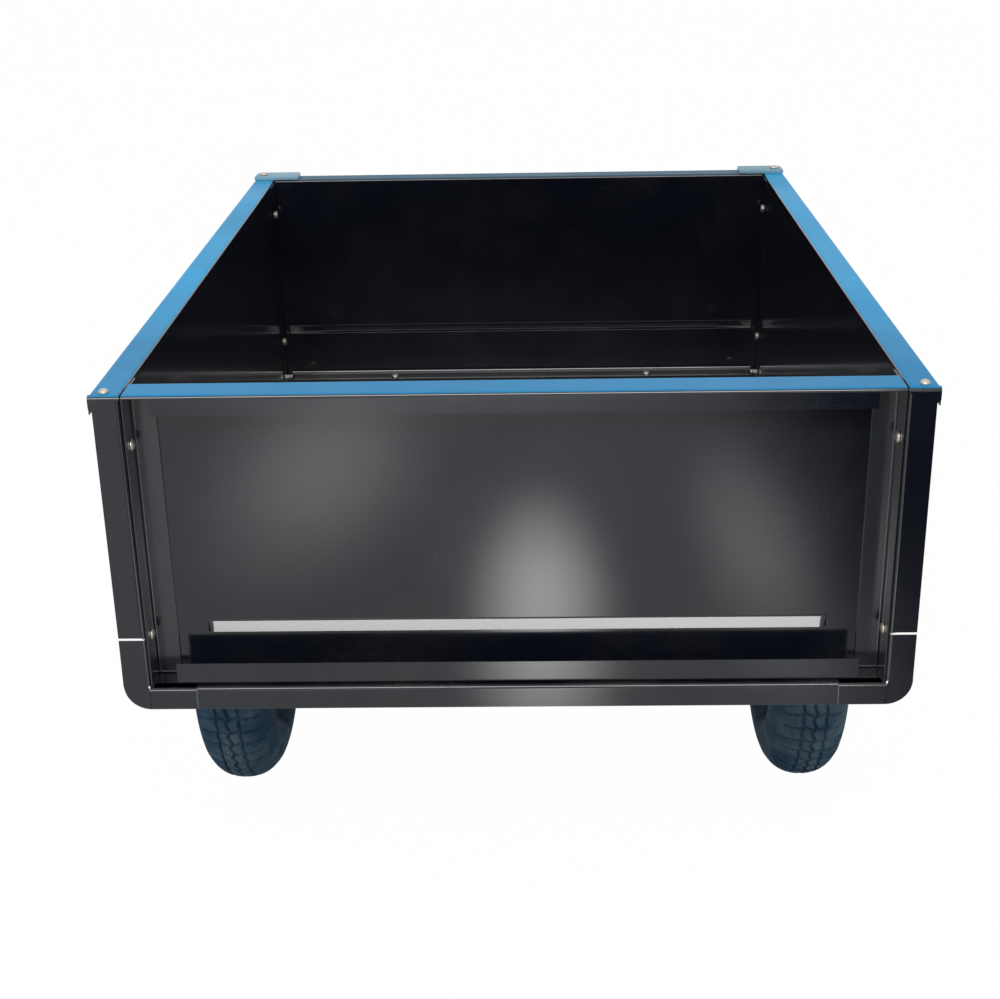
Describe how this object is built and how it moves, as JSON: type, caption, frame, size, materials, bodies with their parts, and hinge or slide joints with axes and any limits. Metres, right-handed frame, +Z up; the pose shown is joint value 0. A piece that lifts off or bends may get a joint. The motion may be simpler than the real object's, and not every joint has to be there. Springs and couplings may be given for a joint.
{
  "type": "tow behind dump cart",
  "caption": "Tow behind dump cart: open pressed steel bed with a lift-out tailgate, tipping on a two-wheel axle with a straight drawbar, clevis hitch and latch.",
  "frame": {"origin": "on the ground, under the middle of the overall box", "axes": "+Y is the towing direction, from the tailgate to the hitch; +X to the right of it; +Z up"},
  "size_m": [0.858, 1.65, 0.7349],
  "materials": {
    "black_paint": "gloss enamel on pressed steel",
    "rail_paint": "gloss blue on the upward faces of rails and tailgate",
    "cap_paint": "satin",
    "zinc": "zinc plated",
    "bare_steel": "drawn bar",
    "tyre_rubber": "matt, slightly dusty tread",
    "moulded_rubber": "satin moulded",
    "wheel_paint": "grey enamel",
    "nylon": "matt"
  },
  "bodies": {
    "chassis": {"tongue_tube": "black_paint", "hitch_plate_upper": "black_paint", "hitch_plate_lower": "black_paint", "latch_stand": "black_paint", "stand_pad": "moulded_rubber", "stand_bolt": "zinc", "latch_pivot_bolt": "zinc", "latch_spring": "bare_steel", "bracket_bolt_front": "zinc", "bracket_bolt_rear": "zinc", "hitch_bolt_front": "zinc", "hitch_bolt_rear": "zinc", "axle": "bare_steel", "tongue_bracket_left": "black_paint", "tongue_bracket_right": "black_paint", "axle_spacer_left": "zinc", "axle_spacer_right": "zinc", "axle_washer_left": "zinc", "axle_washer_right": "zinc", "cotter_pin_left": "zinc", "cotter_pin_right": "zinc"},
    "bed": {"floor_panel": "black_paint", "floor_channel": "black_paint", "front_panel": "black_paint", "latch_strike": "zinc", "side_panel_left": "black_paint", "side_panel_right": "black_paint", "tailgate_guide_left": "black_paint", "tailgate_guide_right": "black_paint", "tailgate_stop_left": "black_paint", "tailgate_stop_right": "black_paint", "axle_stand_left": "black_paint", "axle_stand_right": "black_paint", "axle_bush_left": "nylon", "axle_bush_right": "nylon", "corner_cap_left": "cap_paint", "corner_cap_right": "cap_paint", "cap_bolt_left": "zinc", "cap_bolt_right": "zinc", "guide_bolt_left_upper": "zinc", "guide_bolt_left_lower": "zinc", "guide_bolt_right_upper": "zinc", "guide_bolt_right_lower": "zinc", "front_bolt_left_upper": "zinc", "front_bolt_left_lower": "zinc", "front_bolt_right_upper": "zinc", "front_bolt_right_lower": "zinc"},
    "tailgate": {"tailgate_panel": "black_paint"},
    "latch": {"latch_lever": "zinc", "latch_grip": "moulded_rubber"},
    "hitch_pin": {"hitch_pin": "zinc"},
    "hairpin": {"hairpin_clip": "zinc"},
    "wheel_left": {"tyre_left": "tyre_rubber", "rim_left": "wheel_paint", "hub_left": "wheel_paint", "valve_left": "moulded_rubber"},
    "wheel_right": {"tyre_right": "tyre_rubber", "rim_right": "wheel_paint", "hub_right": "wheel_paint", "valve_right": "moulded_rubber"}
  },
  "joints": [
    {"name": "bed_dump", "type": "hinge", "parent": "chassis", "child": "bed", "pos_m": [0, -0.289, 0.196], "axis": [1, 0, 0], "range_deg": [0, 38]},
    {"name": "tailgate_lift", "type": "slide", "parent": "bed", "child": "tailgate", "axis": [0, 0, 1], "range_m": [0, 0.33]},
    {"name": "wheel_left_spin", "type": "hinge", "parent": "chassis", "child": "wheel_left", "pos_m": [-0.378, -0.289, 0.196], "axis": [1, 0, 0], "continuous": true},
    {"name": "wheel_right_spin", "type": "hinge", "parent": "chassis", "child": "wheel_right", "pos_m": [0.378, -0.289, 0.196], "axis": [1, 0, 0], "continuous": true},
    {"name": "latch_release", "type": "hinge", "parent": "chassis", "child": "latch", "pos_m": [0, 0.247, 0.322], "axis": [-1, 0, 0], "range_deg": [0, 22], "stiffness_Nm_per_rad": 2, "springref_deg": -28.65},
    {"name": "hitch_pin_lift", "type": "slide", "parent": "chassis", "child": "hitch_pin", "axis": [0, 0, 1], "range_m": [0, 0.004]},
    {"name": "hairpin_pull", "type": "slide", "parent": "hitch_pin", "child": "hairpin", "axis": [1, 0, 0], "range_m": [0, 0.045]}
  ]
}
